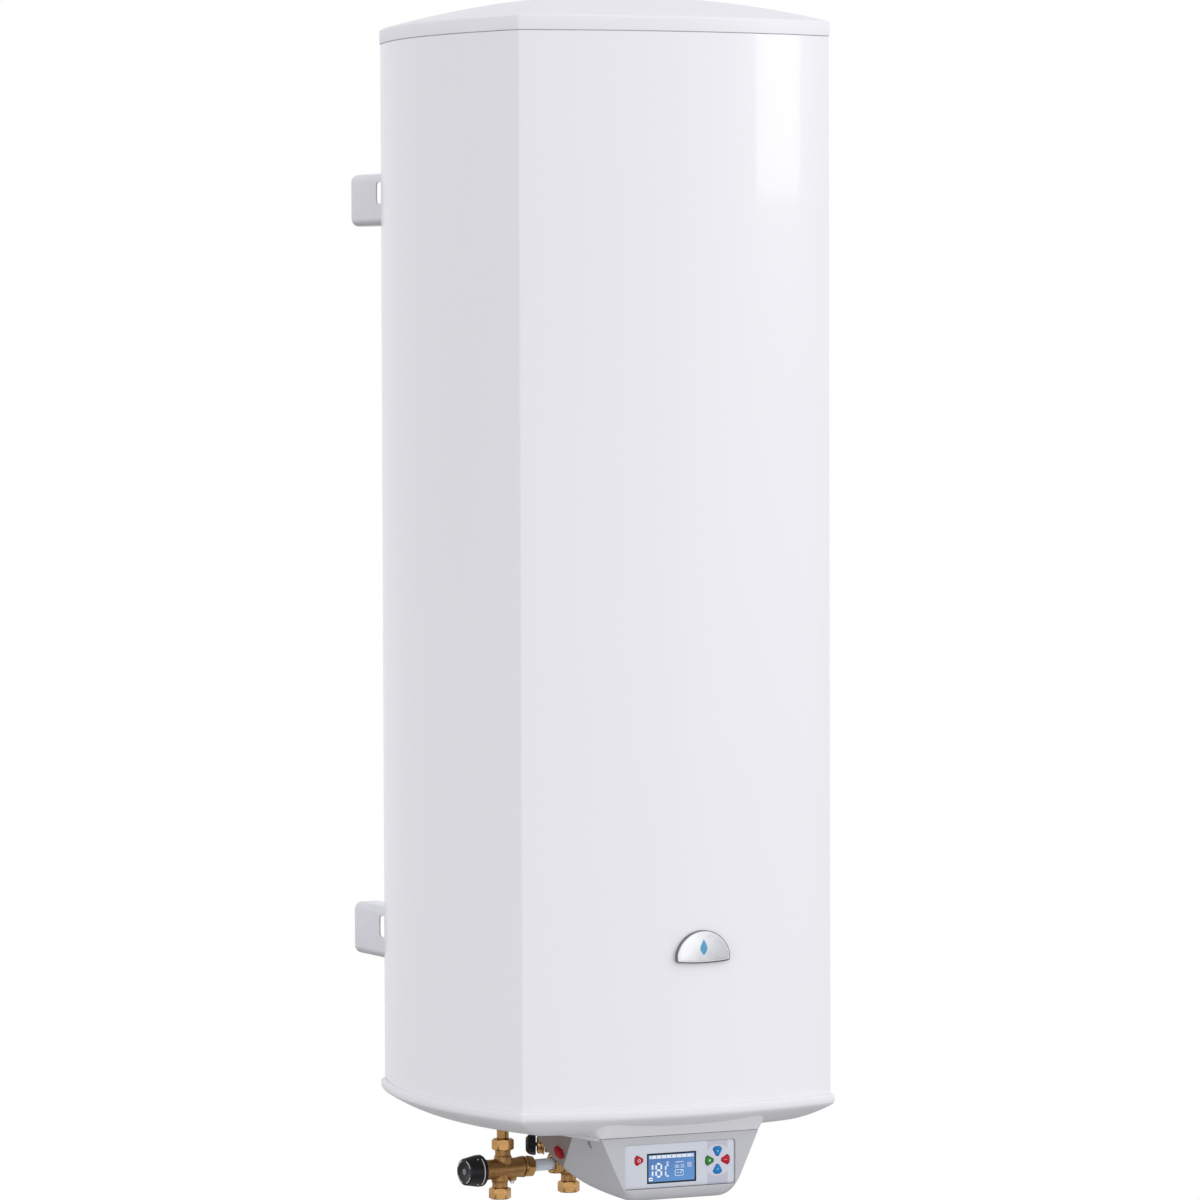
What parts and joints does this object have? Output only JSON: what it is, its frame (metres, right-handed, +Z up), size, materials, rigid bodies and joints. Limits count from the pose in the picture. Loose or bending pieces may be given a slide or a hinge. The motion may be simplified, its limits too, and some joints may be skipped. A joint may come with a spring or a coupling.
{
  "type": "tank water heater",
  "caption": "Tall wall-hung electric tank water heater with a bow-sided white casing, pressed wall brackets, a brass mixing valve and a console with a display below.",
  "frame": {"origin": "wall fixing point: on the wall plane, midway between the two upper bracket pads", "axes": "+Z up, +Y into the wall, -Y out of the front face, +X to the right of someone facing the heater"},
  "size_m": [0.501, 0.5787, 1.4914],
  "materials": {
    "casing_enamel": "gloss",
    "cap_plastic": "satin",
    "bracket_paint": "gloss",
    "insulation_foam": "matte",
    "tank_steel": "satin",
    "zinc_plate": "satin",
    "valve_brass": "satin",
    "nickel": "satin",
    "knob_black": "satin",
    "pipe_plastic": "satin",
    "console_plastic": "satin",
    "rear_cover_plastic": "satin",
    "panel_foil": "satin",
    "display": "gloss",
    "display_window": "gloss",
    "button_red": "satin",
    "button_blue": "satin",
    "button_green": "satin",
    "circuit_board": "satin",
    "gasket_rubber": "matte",
    "magnesium": "matte",
    "badge_metal": "satin"
  },
  "bodies": {
    "heater": {"jacket": "casing_enamel", "top_cap": "cap_plastic", "bottom_cap": "cap_plastic", "foam_insulation": "insulation_foam", "inner_tank": "tank_steel", "upper_left_bracket": "bracket_paint", "upper_right_bracket": "bracket_paint", "lower_left_bracket": "bracket_paint", "lower_right_bracket": "bracket_paint", "heater_flange": "zinc_plate", "flange_gasket": "gasket_rubber", "flange_bolt_1": "zinc_plate", "flange_bolt_2": "zinc_plate", "flange_bolt_3": "zinc_plate", "flange_bolt_4": "zinc_plate", "heating_element": "tank_steel", "thermostat_pocket": "tank_steel", "thermostat": "knob_black", "anode_rod": "magnesium", "safety_cutout": "knob_black", "hot_pipe": "valve_brass", "cold_pipe": "valve_brass", "cold_diffuser": "pipe_plastic", "hot_collar": "valve_brass", "cold_collar": "valve_brass", "bridge_pipe": "pipe_plastic", "mixing_valve_body": "valve_brass", "bleed_screw": "nickel", "mixing_top_nut": "valve_brass", "mixing_bottom_nut": "valve_brass", "bridge_left_nut": "valve_brass", "bridge_right_nut": "valve_brass", "safety_valve_body": "valve_brass", "safety_top_nut": "valve_brass", "safety_bottom_nut": "valve_brass", "safety_bonnet": "valve_brass", "console_shell": "console_plastic", "console_rear": "rear_cover_plastic", "control_panel": "panel_foil", "lcd_module": "display", "lcd_window": "display_window", "control_board": "circuit_board", "terminal_block": "pipe_plastic", "cable_gland": "knob_black", "badge": "badge_metal", "marker_cap": "button_red", "console_screw_left": "zinc_plate", "console_screw_right": "zinc_plate"},
    "mixing_knob": {"mixing_knob": "knob_black", "mixing_knob_cap": "nickel"},
    "mixing_cartridge": {"mixing_cartridge": "valve_brass"},
    "safety_knob": {"safety_knob": "knob_black"},
    "safety_plunger": {"safety_plunger": "valve_brass"},
    "power_button": {"power_button": "button_red"},
    "button_up": {"button_up": "button_blue"},
    "button_down": {"button_down": "button_blue"},
    "button_left": {"button_left": "button_green"},
    "button_right": {"button_right": "button_red"}
  },
  "joints": [
    {"name": "mixing_knob_turn", "type": "hinge", "parent": "heater", "child": "mixing_knob", "pos_m": [-0.16784, -0.30145, -1.209], "axis": [0.9857, 0.1685, 0], "range_deg": [-120, 120]},
    {"name": "mixing_cartridge_slide", "type": "slide", "parent": "heater", "child": "mixing_cartridge", "axis": [0.9857, 0.1685, 0], "range_m": [-0.0011, 0.0011]},
    {"name": "safety_knob_turn", "type": "hinge", "parent": "heater", "child": "safety_knob", "pos_m": [-0.02363, -0.2768, -1.1865], "axis": [-0.8988, 0.4384, 0], "range_deg": [0, 90]},
    {"name": "safety_plunger_lift", "type": "slide", "parent": "heater", "child": "safety_plunger", "axis": [-0.8988, 0.4384, 0], "range_m": [0, 0.0032]},
    {"name": "power_button_press", "type": "slide", "parent": "heater", "child": "power_button", "axis": [0, 1, 0], "range_m": [0, 0.0008], "stiffness_N_per_m": 800},
    {"name": "button_up_press", "type": "slide", "parent": "heater", "child": "button_up", "axis": [0, 1, 0], "range_m": [0, 0.0008], "stiffness_N_per_m": 800},
    {"name": "button_down_press", "type": "slide", "parent": "heater", "child": "button_down", "axis": [0, 1, 0], "range_m": [0, 0.0008], "stiffness_N_per_m": 800},
    {"name": "button_left_press", "type": "slide", "parent": "heater", "child": "button_left", "axis": [0, 1, 0], "range_m": [0, 0.0008], "stiffness_N_per_m": 800},
    {"name": "button_right_press", "type": "slide", "parent": "heater", "child": "button_right", "axis": [0, 1, 0], "range_m": [0, 0.0008], "stiffness_N_per_m": 800}
  ],
  "couplings": [
    {"joint": "mixing_cartridge_slide", "follows": "mixing_knob_turn", "m_per_rad": 0.000477},
    {"joint": "safety_plunger_lift", "follows": "safety_knob_turn", "m_per_rad": 0.00191}
  ]
}
